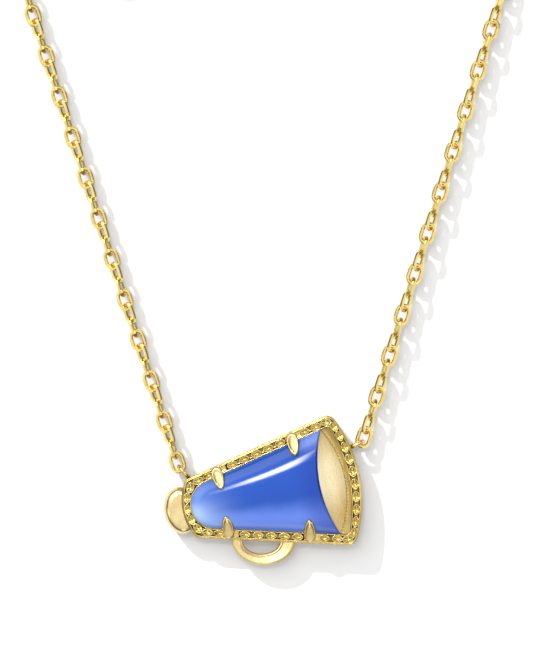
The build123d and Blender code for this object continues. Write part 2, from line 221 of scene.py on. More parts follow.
for side, (loop_x, loop_y, loop_turn) in LOOPS.items():
    turn = STRAND_DIR[side]
    loop = Vector((loop_x, loop_y, CHAIN_Z))
    start = loop + along(loop_turn, LOOP_RADIUS) + along(turn, LINK_REACH - LINK_GRIP)
    # the two links that swing on their own
    for number, body in enumerate(("end_link", "second_link")):
        place = start + along(turn, number * LINK_PITCH)
        chain_piece(f"{side}_{body}", chain_mesh(body, [(place, along(turn, 1), twist_of(side, number))]))

    # the straight strand: its route starts at the first link's end wire and ends at the last one's
    first = start + along(turn, 2 * LINK_PITCH - LINK_REACH)
    long = (STRAND_LINKS - 2) * LINK_PITCH + 2 * LINK_REACH
    line = route_line([first + along(turn, long * share) for share in (0.0, 0.25, 0.5, 0.75, 1.0)])
    place, total = walk(line)
    places = []
    for i in range(2, STRAND_LINKS + 1):
        places.append((*place(LINK_REACH + (i - 2) * LINK_PITCH), twist_of(side, i)))
    strand = chain_piece(f"{side}_strand", chain_mesh("strand", places))

    # the stored rest of the chain: a lead and a flat clockwise coil that ends at the ring
    lead = start + along(turn, STRAND_LINKS * LINK_PITCH + CAD_LINK_LONG / 2 + LEAD_GAP)
    tangent = lead + along(turn, COIL_LEAD[side])
    middle = tangent + along(turn - 90, COIL_TURN)
    begin = start + along(turn, STRAND_LINKS * LINK_PITCH + LINK_PITCH - LINK_REACH)
    route = [begin, begin + along(turn, LEAD_POINTS[0]), tangent - along(turn, LEAD_POINTS[1])]
    count = round(COIL_POINTS * COIL_TURNS)
    for i in range(count + 1):
        share = i / count
        radius = COIL_TURN - share * COIL_TURNS * COIL_PITCH
        route.append(middle + along(turn + 90 - 360 * COIL_TURNS * share, radius))
    ring_turn = turn + 90 - 360 * COIL_TURNS - RING_AHEAD
    route.append(middle + along(ring_turn + RING_BEND[0], RING_BEND[1]))
    route.append(middle + along(ring_turn, RING_FROM_COIL + RING_RADIUS))
    line = route_line(route)
    place, total = walk(line)
    number = round((total - 2 * LINK_REACH) / LINK_PITCH)
    pitch = (total - 2 * LINK_REACH) / number
    places = []
    for i in range(number + 1):
        places.append((*place(LINK_REACH + i * pitch), twist_of(side, STRAND_LINKS + 1 + i)))
    coil = chain_piece(f"{side}_coil", chain_mesh("coil", places))

# ---------------------------------------------------------------- material helpers
GRAIN_DEEP = 0.00002  # m


class Nodes:
    """Short calls for building one material's or world's nodes."""

    def __init__(self, tree):
        self.tree = tree

    def add(self, kind, **settings):
        node = self.tree.nodes.new("ShaderNode" + kind)
        for key, value in settings.items():
            setattr(node, key, value)
        return node

    def feed(self, socket, value):
        if isinstance(value, bpy.types.NodeSocket):
            self.tree.links.new(value, socket)
        else:
            socket.default_value = value

    def object_place(self):
        """The row frame's place, in mm."""
        scale = self.add("VectorMath", operation="SCALE")
        self.feed(scale.inputs[0], self.add("TexCoord").outputs["Object"])
        self.feed(scale.inputs["Scale"], 1 / MM)
        return scale.outputs[0]

    def split(self, vector):
        node = self.add("SeparateXYZ")
        self.feed(node.inputs[0], vector)
        return node.outputs

    def math(self, operation, a, b=0.0, clamp=False):
        node = self.add("Math", operation=operation, use_clamp=clamp)
        self.feed(node.inputs[0], a)
        self.feed(node.inputs[1], b)
        return node.outputs[0]

    def noise(self, place, scale, detail=2.0, roughness=0.5):
        node = self.add("TexNoise")
        self.feed(node.inputs["Vector"], place)
        self.feed(node.inputs["Scale"], scale)
        self.feed(node.inputs["Detail"], detail)
        self.feed(node.inputs["Roughness"], roughness)
        return node.outputs["Fac"]

    def spread(self, value, low, high, to_low=0.0, to_high=1.0, smooth=False):
        node = self.add("MapRange", interpolation_type="SMOOTHSTEP" if smooth else "LINEAR")
        for name, number in (("Value", value), ("From Min", low), ("From Max", high)):
            self.feed(node.inputs[name], number)
        self.feed(node.inputs["To Min"], to_low)
        self.feed(node.inputs["To Max"], to_high)
        return node.outputs["Result"]

    def mix(self, share, a, b):
        node = self.add("Mix", data_type="RGBA")
        self.feed(node.inputs[0], share)
        self.feed(node.inputs[6], a)
        self.feed(node.inputs[7], b)
        return node.outputs[2]

    def bump(self, height, strength):
        node = self.add("Bump")
        self.feed(node.inputs["Height"], height)
        self.feed(node.inputs["Strength"], strength)
        self.feed(node.inputs["Distance"], GRAIN_DEEP)
        return node.outputs["Normal"]


def material(name):
    made = bpy.data.materials.new(name)
    made.use_nodes = True
    nodes = Nodes(made.node_tree)
    shader = made.node_tree.nodes["Principled BSDF"]
    return made, nodes, shader


SRGB_STRAIGHT = 10  # out of 255: up to here the sRGB curve is a straight line


def linear(red, green, blue):
    """Scene colour from screen values out of 255, by the sRGB curve."""
    made = []
    for c in (red, green, blue):
        made.append(((c / 255 + 0.055) / 1.055) ** 2.4 if c > SRGB_STRAIGHT else c / 255 / 12.92)
    return (*made, 1)


CLOUD_SCALE = 0.9  # of the slow change of the plating's colour, per mm
CLOUD_RANGE = (0.35, 0.68)
CLOUD_SHARE = 0.25
SIDE_SHADE_RANGE = (0.85, 0.05)  # a face's upward share, from where the painted shade on upright sides starts to deepen to where it is deepest
# how much of the deep colour the painted shade in hollows reaches
RECESS_SHADE_SHARE = 0.85
NOISE_RANGE = (0.3, 0.7)  # where nearly all of a noise's values lie
ROUGH_RANGE = (0.75, 1.3)  # of the middle roughness


def gold(name, light, deep, rough, grain=0.35, grain_scale=9.0, side=0.6, hollow_shade=None):
    """Plated gold: light on flats, with painted shade that deepens it on upright sides and, below recess=(low
    z, high z), in hollows.
    """
    made, n, shader = material(name)
    place = n.object_place()
    cloud = n.noise(place, CLOUD_SCALE, 3.0)
    fine = n.noise(place, grain_scale, 4.0, 0.6)
    colour = n.mix(n.spread(cloud, *CLOUD_RANGE), light, deep)
    colour = n.mix(CLOUD_SHARE, light, colour)
    # painted shade: upright sides deepen towards the deep colour, by up to the share side
    upright = n.split(n.add("TexCoord").outputs["Normal"])[2]
    colour = n.mix(n.spread(upright, *SIDE_SHADE_RANGE, 0.0, side, smooth=True), colour, deep)
    # painted shade: darker below the given z range, in the hollows
    if hollow_shade:
        low = n.spread(n.split(place)[2], *hollow_shade, 1.0, 0.0, smooth=True)
        colour = n.mix(n.math("MULTIPLY", low, RECESS_SHADE_SHARE), colour, deep)
    n.feed(shader.inputs["Base Color"], colour)
    shader.inputs["Metallic"].default_value = 1.0
    low_rough, high_rough = (rough * share for share in ROUGH_RANGE)
    n.feed(shader.inputs["Roughness"], n.spread(fine, *NOISE_RANGE, low_rough, high_rough))
    n.feed(shader.inputs["Normal"], n.bump(fine, grain))
    return made


def use(piece, made):
    piece.data.materials.clear()
    piece.data.materials.append(made)


def pendant_piece(name, mesh, made, node=None):
    """Detailed piece that moves with the pendant, in the place of a CAD node if one is named."""
    piece = new_object(name, mesh)
    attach(piece, "pendant")
    if node:
        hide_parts(node)
    use(piece, made)


# name: light colour, deep colour, roughness and what else differs from the usual plating; the deep colour
# serves the plating's darker tone and the painted shade on upright sides and in hollows
GOLDS = {
    "polished_gold": ((246, 218, 144), (186, 146, 58), 0.12, {}),
    "band_gold": ((238, 212, 134), (134, 110, 36), 0.14, {"grain": 0.15, "hollow_shade": (1.5, 1.95)}),
    "cup_gold": ((251, 236, 180), (200, 172, 76), 0.09, {"grain": 0.05, "side": 0.5, "hollow_shade": (1.66, 1.92)}),
    "satin_gold": ((248, 224, 166), (206, 170, 96), 0.22, {"grain": 0.05, "grain_scale": 16.0}),
    "handle_gold": ((240, 216, 156), (200, 166, 94), 0.3, {"grain": 0.04, "grain_scale": 16.0}),
    "strip_gold": ((238, 216, 150), (190, 162, 84), 0.4, {"grain": 0.08}),
    "claw_gold": ((236, 210, 146), (168, 130, 50), 0.17, {"grain": 0.05, "side": 0.9}),
    "back_gold": ((240, 214, 150), (200, 165, 90), 0.34, {"grain": 0.4}),
    "chain_gold": ((255, 232, 150), (184, 146, 52), 0.1, {"grain": 0.12, "side": 0.6}),
}
golds = {}
for name, (light, deep, rough, other) in GOLDS.items():
    golds[name] = gold(name, linear(*light), linear(*deep), rough, **other)
steel = gold("spring_steel", (0.6, 0.6, 0.62, 1), (0.42, 0.42, 0.44, 1), 0.25)

# ---------------------------------------------------------------- stone
STONE_FLARE = 13.5  # degrees from the axis to each long side
STONE_HALF_WIDTH = 3.66  # at x = 0
STONE_TIP_X = -7.2
STONE_POINT_X = 6.95  # of the two points beside the hollow end
STONE_END_SAG = 1.15
DOME_RATIO = 0.3  # height to half width
DOME_BEND = (1.05, -0.03, -0.004)  # what that is multiplied by: at x = 0, per mm, per mm squared
GIRDLE_Z = 1.9
SEAT_Z = 0.95
SLOPE = sin(radians(STONE_FLARE)) / cos(radians(STONE_FLARE))
LEAN = cos(radians(STONE_FLARE))
NOSE_RADIUS = LEAN * (STONE_HALF_WIDTH + SLOPE * STONE_TIP_X) / (1 - LEAN * SLOPE)
NOSE_X = STONE_TIP_X + NOSE_RADIUS
NOSE_END_X = NOSE_X - NOSE_RADIUS * sin(radians(STONE_FLARE))
POINT_Y = STONE_HALF_WIDTH + SLOPE * STONE_POINT_X
END_RADIUS = (POINT_Y**2 + STONE_END_SAG**2) / (2 * STONE_END_SAG)
STONE_ROWS = 72
STONE_STEPS = 110
EDGE_ROUND = 0.16
END_SEARCH = 30  # rounds in which a row's meeting point with the hollow end is found
STONE_CREASE = 35  # degrees between faces from which an edge shows as sharp
WELD = (1e-7, 1e-8)  # m: points this close are one, and edges this short go


def stone_half(x):
    """Half the stone's width at x."""
    if x < NOSE_END_X:
        return sqrt(max(NOSE_RADIUS**2 - (x - NOSE_X) ** 2, 0.0))
    return STONE_HALF_WIDTH + SLOPE * x


def end_x(y):
    """Where the stone's hollow end is at y."""
    return STONE_POINT_X - STONE_END_SAG + END_RADIUS - sqrt(END_RADIUS**2 - y**2)


def dome_z(x, y):
    """Height of the stone's surface."""
    share = DOME_BEND[0] + DOME_BEND[1] * x + DOME_BEND[2] * x**2
    return GIRDLE_Z + DOME_RATIO * share * sqrt(max(stone_half(x) ** 2 - y**2, 0.0))


def stone_mesh():
    """Closed cabochon: domed top, rounded edge at the hollow end, straight sides and a flat back."""
    verts, top = [], []
    for r in range(STONE_ROWS + 1):
        lean = sin(pi * (r / STONE_ROWS - 0.5))
        far = STONE_POINT_X
        for _ in range(END_SEARCH):
            far = end_x(stone_half(far) * lean)
        row = []
        for k in range(STONE_STEPS + 1):
            share = 1 - cos(pi / 2 * k / STONE_STEPS) if k < STONE_STEPS else 1.0
            x = STONE_TIP_X + (far - STONE_TIP_X) * share
            y = stone_half(x) * lean
            into = max(x - (far - EDGE_ROUND), 0.0)
            drop = EDGE_ROUND - sqrt(max(EDGE_ROUND**2 - into**2, 0.0))
            row.append(len(verts))
            verts.append((x, y, dome_z(x, y) - drop))
        top.append(row)
    faces = []
    for a, b in zip(top, top[1:]):
        faces += [(a[k], a[k + 1], b[k + 1], b[k]) for k in range(STONE_STEPS)]
    # outline of the top: along one side, round the end, back along the other side
    ring = top[0] + [row[-1] for row in top[1:-1]] + top[-1][::-1]
    under = []
    for index in ring:
        x, y, _ = verts[index]
        under.append(len(verts))
        verts.append((x, y, SEAT_Z))
    for i in range(len(ring)):
        j = (i + 1) % len(ring)
        faces.append((ring[j], ring[i], under[i], under[j]))
    centre = len(verts)
    verts.append((0.0, 0.0, SEAT_Z))
    for i in range(len(under)):
        faces.append((centre, under[(i + 1) % len(under)], under[i]))
    mesh = mesh_from("stone", verts, faces, smooth=True)
    work = bmesh.new()
    work.from_mesh(mesh)
    bmesh.ops.remove_doubles(work, verts=work.verts, dist=WELD[0])
    bmesh.ops.dissolve_degenerate(work, edges=work.edges, dist=WELD[1])
    bmesh.ops.recalc_face_normals(work, faces=work.faces)
    for edge in work.edges:
        if len(edge.link_faces) == 2 and edge.calc_face_angle(0.0) > radians(STONE_CREASE):
            edge.smooth = False
    work.to_mesh(mesh)
    work.free()
    return mesh


STONE_SHINE = 0.03  # what the stone's own reflection adds to its colour
STUDIO_GAIN = 1.35
DARKEST = 0.002
# the lower side's and the nose's colours are painted light: the glow of the stone lit from inside
STONE_COLOURS = {
    "body": (56, 94, 190),
    "lower side": (116, 150, 246),
    "upper side": (54, 86, 162),
    "nose": (174, 204, 252),
    "hollow end": (52, 74, 168),
    "haze": (128, 152, 218),
}
# where each of them starts and is full: across the stone from -1 at its lower side to 1 at its upper
# side, or along it in mm
STONE_RANGES = {
    "lower side": (-0.05, -0.6),
    "upper side": (0.55, 0.9),
    "haze across": (0.6, 0.85),
    "haze along": (3.6, 5.6),
    "nose along": (0.0, -6.6),
    "nose across": (0.5, -0.4),
    "hollow end": (3.0, 6.0),
}
WISP_SHIFT = 0.2  # how far the wisps move the lower side's edge
NOSE_POWER = 3.0
NOSE_LEAST = 0.3  # the nose's share at the upper side
HAZE_MOST = 0.6
END_MOST = 0.5


def shown(part):
    """Base colour that shows as about the part's screen colour once the stone's shine is added."""
    colour = linear(*STONE_COLOURS[part])[:3]
    return (*[max((c - STONE_SHINE) / STUDIO_GAIN, DARKEST) for c in colour], 1)


def stone_material():
    """Blue glass on foil: painted glow, as if lit from inside, along its lower side and at its nose, hazy at
    the upper point.
    """
    made, n, shader = material("blue_stone")
    place = n.object_place()
    x, y, _ = n.split(place)
    half = n.math("ADD", n.math("MULTIPLY", x, SLOPE), STONE_HALF_WIDTH)
    across = n.math("DIVIDE", y, half)  # -1 at the lower side, 1 at the upper
    wisp = n.noise(place, 0.35, 3.0)
    colour = shown("body")
    wavy = n.math("ADD", across, n.math("MULTIPLY", wisp, WISP_SHIFT))
    # painted glow along the lower side
    low = n.spread(wavy, *STONE_RANGES["lower side"], smooth=True)
    colour = n.mix(low, colour, shown("lower side"))
    up = n.spread(across, *STONE_RANGES["upper side"], smooth=True)
    colour = n.mix(up, colour, shown("upper side"))
    hazy_side = n.spread(across, *STONE_RANGES["haze across"], smooth=True)
    hazy_end = n.spread(x, *STONE_RANGES["haze along"], 0.0, HAZE_MOST, smooth=True)
    haze = n.math("MULTIPLY", hazy_side, hazy_end)
    # painted glow at the nose, less towards the upper side
    nose = n.math("POWER", n.spread(x, *STONE_RANGES["nose along"]), NOSE_POWER)
    lower = n.spread(across, *STONE_RANGES["nose across"], NOSE_LEAST, 1.0, smooth=True)
    colour = n.mix(n.math("MULTIPLY", nose, lower), colour, shown("nose"))
    end = n.spread(x, *STONE_RANGES["hollow end"], 0.0, END_MOST, smooth=True)
    colour = n.mix(end, colour, shown("hollow end"))
    colour = n.mix(haze, colour, shown("haze"))
    n.feed(shader.inputs["Base Color"], colour)
    n.feed(shader.inputs["Roughness"], n.spread(wisp, *NOISE_RANGE, 0.05, 0.1))
    shader.inputs["Subsurface Weight"].default_value = 0.15
    shader.inputs["Subsurface Radius"].default_value = (0.0006, 0.0008, 0.0015)
    shader.inputs["Subsurface Scale"].default_value = 1.0
    shader.inputs["IOR"].default_value = 1.46
    return made


pendant_piece("cabochon", stone_mesh(), stone_material(), "stone")

# ---------------------------------------------------------------- cast band round the stone
# the sizes that the CAD source has too
FLARE = 13.7  # degrees from the axis to each long side
NARROW_END = -8.1
WIDE_END = 9.9
HALF_WIDTH = 4.72  # at x = 0
NARROW_SAG = 0.8
WIDE_SAG = 1.75
NARROW_CORNER = 0.6
WIDE_CORNER = 0.9
SET_GAP = 0.03
OPENING_SAG = 1.0
OPENING_CORNER = 0.4
BELL_BAND = 1.12  # the band's width at the middle of the bell
BACK_Z = 0.5
FLARE_SLOPE = sin(radians(FLARE)) / cos(radians(FLARE))
# how finely the outlines are drawn
BELL_POINTS = 80
HEEL_POINTS = 40
NOSE_POINTS = 60
CORNER_POINTS = 14
BAND_STEPS = 900
ON_CORNER = 1e-6
FILLET_MARGIN = 1.05
MATCH_SPREAD = 31  # steps to each side over which the opening's matching points are evened out


def arc_through(start, middle, end, steps):
    """Points on the arc through three points, in the plane."""
    (ax, ay), (bx, by), (cx, cy) = start, middle, end
    d = 2 * (ax * (by - cy) + bx * (cy - ay) + cx * (ay - by))
    ux = ((ax**2 + ay**2) * (by - cy) + (bx**2 + by**2) * (cy - ay) + (cx**2 + cy**2) * (ay - by)) / d
    uy = ((ax**2 + ay**2) * (cx - bx) + (bx**2 + by**2) * (ax - cx) + (cx**2 + cy**2) * (bx - ax)) / d
    radius = sqrt((ax - ux) ** 2 + (ay - uy) ** 2)
    a0, a1, a2 = (atan2(y - uy, x - ux) for x, y in (start, middle, end))
    span = (a2 - a0) % (2 * pi)
    if (a1 - a0) % (2 * pi) > span:
        span -= 2 * pi
    angles = [a0 + span * i / steps for i in range(steps + 1)]
    return [(ux + radius * cos(a), uy + radius * sin(a)) for a in angles]


def rounded(points, radius):
    """Closed outline, given as points with marked corners (x, y, is_corner), with those corners filleted."""
    made = []
    n = len(points)
    for i, (x, y, corner) in enumerate(points):
        if not corner:
            made.append((x, y))
            continue
        here = Vector((x, y))
        before, after = Vector(points[i - 1][:2]) - here, Vector(points[(i + 1) % n][:2]) - here
        half = before.angle(after) / 2
        reach = radius[i] / (sin(half) / cos(half))
        start, end = here + before.normalized() * reach, here + after.normalized() * reach
        centre = here + (before.normalized() + after.normalized()).normalized() * radius[i] / sin(half)
        middle = centre + (here - centre).normalized() * radius[i]
        made += arc_through(tuple(start), tuple(middle), tuple(end), CORNER_POINTS)
    return made


def filleted(points, radius):
    """The outline with its corners filleted, without the points that would turn it back on itself there."""
    corners = [(x, y) for x, y, is_corner in points if is_corner]
    keep = []
    for k, (x, y, is_corner) in enumerate(points):
        near = min(sqrt((x - cx) ** 2 + (y - cy) ** 2) for cx, cy in corners)
        if is_corner or near > FILLET_MARGIN * radius[k]:
            keep.append(k)
    return rounded([points[k] for k in keep], [radius[k] for k in keep])


def resampled(points, count):
    """The closed outline at equal steps from its first point, and its length."""
    ring = np.array(points + points[:1])
    steps = np.linalg.norm(np.diff(ring, axis=0), axis=1)
    ends = np.concatenate([[0], np.cumsum(steps)])
    at = np.linspace(0, ends[-1], count, endpoint=False)
    return np.stack([np.interp(at, ends, ring[:, k]) for k in (0, 1)], axis=1), float(ends[-1])


def outer_outline():
    """The megaphone's outline, anticlockwise from the middle of the bell."""
    wide_x, narrow_x = WIDE_END - WIDE_SAG, NARROW_END + NARROW_SAG
    wide_y, narrow_y = HALF_WIDTH + wide_x * FLARE_SLOPE, HALF_WIDTH + narrow_x * FLARE_SLOPE
    bell = arc_through((wide_x, -wide_y), (WIDE_END, 0), (wide_x, wide_y), BELL_POINTS)
    heel = arc_through((narrow_x, narrow_y), (NARROW_END, 0), (narrow_x, -narrow_y), HEEL_POINTS)
    half = BELL_POINTS // 2
    points, radius = [], []
    for arc, corner_y, corner in (
        (bell[half:], wide_y, WIDE_CORNER),
        (heel, narrow_y, NARROW_CORNER),
        (bell[:half], wide_y, WIDE_CORNER),
    ):
        points += [(x, y, abs(abs(y) - corner_y) < ON_CORNER) for x, y in arc]
        radius += [corner] * len(arc)
    return filleted(points, radius)


def inner_outline():
    """The opening that holds the stone and the mouth, anticlockwise from the middle of the bell."""
    front = WIDE_END - BELL_BAND
    end = front - OPENING_SAG
    end_y = STONE_HALF_WIDTH + SLOPE * end
    bell = arc_through((end, -end_y), (front, 0), (end, end_y), BELL_POINTS)
    tip_y = sqrt(NOSE_RADIUS**2 - (NOSE_END_X - NOSE_X) ** 2)
    nose = arc_through((NOSE_END_X, tip_y), (STONE_TIP_X, 0), (NOSE_END_X, -tip_y), NOSE_POINTS)
    half = BELL_POINTS // 2
    points = []
    for arc, sharp in ((bell[half:], True), (nose, False), (bell[:half], True)):
        points += [(x, y, sharp and abs(abs(y) - end_y) < ON_CORNER) for x, y in arc]
    return filleted(points, [OPENING_CORNER] * len(points))


outer_ring, outer_long = resampled(outer_outline(), BAND_STEPS)
inner_dense, _ = resampled(inner_outline(), 4 * BAND_STEPS)


def inward_normals(ring):
    ahead = np.roll(ring, -1, axis=0) - np.roll(ring, 1, axis=0)
    ahead /= np.linalg.norm(ahead, axis=1)[:, None]
    return np.stack([-ahead[:, 1], ahead[:, 0]], axis=1)


def matched_inner():
    """For each point of the outer ring, the opening's point that faces it, always going forwards."""
    nearest = np.array([np.argmin(((inner_dense - p) ** 2).sum(1)) for p in outer_ring])
    n = len(inner_dense)
    unwrapped = np.unwrap(nearest * 2 * pi / n) * n / (2 * pi)
    unwrapped = np.maximum.accumulate(unwrapped)
    wide = MATCH_SPREAD
    padded = np.concatenate([unwrapped[-wide:] - n, unwrapped, unwrapped[:wide] + n])
    smooth = np.convolve(padded, np.ones(2 * wide + 1) / (2 * wide + 1), mode="same")[wide:-wide]
    index = smooth % n
    low = np.floor(index).astype(int) % n
    share = (index - np.floor(index))[:, None]
    return inner_dense[low] * (1 - share) + inner_dense[(low + 1) % n] * share


inner_ring = matched_inner()
normals = inward_normals(outer_ring)

PRONG_AT = {"left": -4.0, "right": 3.95}
PRONG_CLEAR = 0.78  # nearer to a prong's middle than this there is no cup
CUP_PITCH = 1.245
CUP_LINE = 0.53  # from the outline to the line that the cups' middles follow
CUP_COUNT = round((outer_long - 2 * pi * CUP_LINE) / CUP_PITCH)
CUP_ACROSS = {"bell": 0.56, "side": 0.57}  # where a cup's middle is, as a share of the band's width
CUP_HALF_LONG = 0.56
CUP_HALF_WIDE = 0.40  # at most
CUP_MARGINS = 0.44  # the rim and the lip together, where the cup has less room
CUP_OVER_EDGE = 0.06
CUP_ROUND = 28
# (share of the half sizes, z), from the middle of the underside to the middle of the dimple
CUP_PROFILE = (
    *((0.0, 1.40), (0.98, 1.40), (1.0, 1.52), (1.0, 1.86), (0.97, 1.925), (0.92, 1.95), (0.87, 1.94)),
    *((0.83, 1.91), (0.76, 1.87), (0.60, 1.81), (0.42, 1.755), (0.24, 1.71), (0.10, 1.69), (0.0, 1.69)),
)


def cup_frames():
    """Middle, direction along the band and the band's width at each cup."""
    found = []
    for i in range(CUP_COUNT):
        k = int((i + 0.5) / CUP_COUNT * BAND_STEPS) % BAND_STEPS
        span = inner_ring[k] - outer_ring[k]
        wide = float(np.linalg.norm(span))
        on_bell = outer_ring[k][0] > WIDE_END - WIDE_SAG
        middle = outer_ring[k] + span * CUP_ACROSS["bell" if on_bell else "side"]
        if all(abs(middle[0] - x) > PRONG_CLEAR for x in PRONG_AT.values()):
            along_band = np.array([-normals[k][1], normals[k][0]])
            found.append((middle, along_band, wide))
    return found


RIM_TOP = 2.0
FLOOR_Z = 1.5
PRONG_FLOOR_Z = 1.9  # the channel is filled up to here under each prong
PRONG_FILL = (1.0, 0.22)  # how far from the prong's middle that ends, and how long its slope is
LIP_TOP = 1.95
LIP_WIDE = 0.10
SCALLOP = 0.05  # how much wider the lip is between cups
# (distance from the outline, z) of the side wall and the stepped rim
RIM_PROFILE = (
    *((0.0, BACK_Z), (0.0, 1.66), (0.015, 1.74), (0.045, 1.79), (0.08, 1.80), (0.105, 1.78), (0.125, 1.82)),
    *((0.15, 1.96), (0.19, RIM_TOP), (0.24, 1.995), (0.28, 1.95), (0.30, 1.915)),
)


def band_profile(k):
    """(distance from the outline, z) right round the band's section at step k."""
    out, span = outer_ring[k], inner_ring[k] - outer_ring[k]
    from_prong = min(abs(out[0] - x) for x in PRONG_AT.values())
    fill = min(1.0, max(0.0, (PRONG_FILL[0] - from_prong) / PRONG_FILL[1]))
    floor = FLOOR_Z + (PRONG_FLOOR_Z - FLOOR_Z) * fill
    lip = LIP_WIDE + SCALLOP * (0.5 + 0.5 * cos(2 * pi * k / BAND_STEPS * CUP_COUNT))
    # down the rim's inside to the channel's floor
    rim = [*RIM_PROFILE, (0.31, (1.9 + floor) / 2), (0.34, floor + 0.01), (0.38, floor)]
    # (distance back from the lip, z), from the channel's floor over the lip and down inside the opening
    edge = [(0.14, floor), (0.05, floor + 0.03), (0.02, (floor + LIP_TOP) / 2), (0.0, LIP_TOP - 0.07)]
    edge += [(-0.03, LIP_TOP - 0.015), (-0.06, LIP_TOP), (-lip + 0.02, LIP_TOP - 0.01)]
    edge += [(-lip, LIP_TOP - 0.05), (-lip, BACK_Z)]
    lip_from = float(np.linalg.norm(span)) - lip
    return rim + [(lip_from - d, z) for d, z in edge]


def band_mesh():
    """Closed band: side wall, rounded rim, sunk channel and the lip round the opening."""
    verts, faces = [], []
    for k in range(BAND_STEPS):
        out, span = outer_ring[k], inner_ring[k] - outer_ring[k]
        wide = float(np.linalg.norm(span))
        verts += [(*(out + span * (d / wide)), z) for d, z in band_profile(k)]
    rows = len(verts) // BAND_STEPS
    for k in range(BAND_STEPS):
        faces += band_faces(k * rows, (k + 1) % BAND_STEPS * rows, rows)
    return mesh_from("band", verts, faces, smooth=True)


def cups_mesh():
    """Thin-walled oval cups with a dimple, one beside the other along the channel."""
    verts, faces = [], []
    for middle, ahead, wide in cup_frames():
        across = np.array([-ahead[1], ahead[0]])
        half_wide = min(CUP_HALF_WIDE, (wide - CUP_MARGINS) / 2 + CUP_OVER_EDGE)
        first = len(verts)
        for share, z in CUP_PROFILE:
            if share == 0.0:
                verts.append((*middle, z))
                continue
            for i in range(CUP_ROUND):
                angle = 2 * pi * i / CUP_ROUND
                to_end = ahead * cos(angle) * CUP_HALF_LONG * share
                to_side = across * sin(angle) * half_wide * share
                verts.append((*(middle + to_end + to_side), z))
        last = len(verts) - 1
        ring = [first + 1 + j * CUP_ROUND for j in range(len(CUP_PROFILE) - 2)]
        for i in range(CUP_ROUND):
            j = (i + 1) % CUP_ROUND
            faces.append((first, ring[0] + j, ring[0] + i))
            faces += [(a + i, a + j, b + j, b + i) for a, b in zip(ring, ring[1:])]
            faces.append((ring[-1] + i, ring[-1] + j, last))
    return mesh_from("cups", verts, faces, smooth=True)


pendant_piece("band", band_mesh(), golds["band_gold"], "frame")
pendant_piece("band_cups", cups_mesh(), golds["cup_gold"])

# ---------------------------------------------------------------- toothed edge of the mouth
MOUTH_SAG = 1.45
MOUTH_SIDE_Z = 0.5
FAR_SHORTER = 0.12  # how much less the far side spreads than the opening
TOOTH_COUNT = 34
TOOTH_DEEP = 0.1
STEPS_PER_TOOTH = 14
EDGE_STEPS = TOOTH_COUNT * STEPS_PER_TOOTH
# from the mouth's floor outwards: distance and z between two teeth, and what a tooth adds to both
TEETH_PROFILE = (
    *((0.02, MOUTH_SIDE_Z, -TOOTH_DEEP, 0.0), (0.02, 1.64, -TOOTH_DEEP, 0.0), (0.05, 1.74, -TOOTH_DEEP, 0.0)),
    *((0.06, 1.74, 0.0, 0.07), (0.13, 1.70, 0.0, 0.05), (0.15, 1.60, 0.0, 0.0), (0.18, 1.58, 0.0, 0.0)),
    (0.22, 1.63, 0.0, 0.0),
)
# (distance back from the far side, z) of the rising flat
FLAT_PROFILE = ((0.03, 1.74), (0.0, 1.78), (0.0, MOUTH_SIDE_Z))


def mouth_edge_mesh():
    """Strip between the mouth's floor and the cups: fine teeth, a groove and a rising flat."""
    front = WIDE_END - BELL_BAND - SET_GAP
    far_x = front - OPENING_SAG
    far_y = STONE_HALF_WIDTH + SLOPE * far_x - FAR_SHORTER
    near_top, near_low = (STONE_POINT_X, POINT_Y), (STONE_POINT_X, -POINT_Y)
    near = arc_through(near_low, (STONE_POINT_X + MOUTH_SAG, 0), near_top, EDGE_STEPS)
    far = arc_through((far_x, -far_y), (front, 0), (far_x, far_y), EDGE_STEPS)
    verts, faces = [], []
    for k in range(EDGE_STEPS + 1):
        a, b = Vector(near[k]), Vector(far[k])
        wide = (b - a).length
        to_side = (b - a) / wide
        tooth = 0.5 + 0.5 * cos(2 * pi * (k / EDGE_STEPS * TOOTH_COUNT - 0.5))
        profile = [(d + out * tooth, z + up * tooth) for d, z, out, up in TEETH_PROFILE]
        profile += [(wide - d, z) for d, z in FLAT_PROFILE]
        verts += [(*(a + to_side * d), z) for d, z in profile]
    rows = len(verts) // (EDGE_STEPS + 1)
    for k in range(EDGE_STEPS):
        faces += band_faces(k * rows, (k + 1) * rows, rows)
    faces += [tuple(range(rows)), tuple(EDGE_STEPS * rows + j for j in reversed(range(rows)))]
    return mesh_from("mouth_edge", verts, faces, smooth=True)


pendant_piece("mouth_edge", mouth_edge_mesh(), golds["strip_gold"], "mouth_rim")

# ---------------------------------------------------------------- prongs
# mm, except for shares
PRONG_HALF_WIDE = 0.6
PRONG_HALF_LONG = 1.22
PRONG_REACH = 1.4  # from the stone's edge to the tip
PRONG_HIGH = 0.3
PRONG_SUNK = 0.06  # how far its underside lies in the rim and in the stone's surface
PRONG_WIDEST = 0.42  # share of the length, from the base
PRONG_ENDS = {"tip": (1.9, 0.6), "base": (2.4, 0.5)}  # the outline's exponents
PRONG_LEAN = {"upper_left": 6.0, "lower_left": 0.0, "upper_right": 0.0, "lower_right": -8.0}  # degrees
PRONG_ROUND = 56
PRONG_DISH = 0.68  # share of the height in the middle
# (share of the outline, share of the height), from inside the dish over the raised edge and down
PRONG_PROFILE = (
    *((0.2, 0.68), (0.4, 0.70), (0.58, 0.78), (0.70, 0.95), (0.78, 1.0)),
    *((0.86, 0.93), (0.93, 0.74), (0.98, 0.45), (1.0, 0.1)),
)
PRONG_FOOT_Z = 1.72  # where each claw's sides end, inside the filled channel and the stone


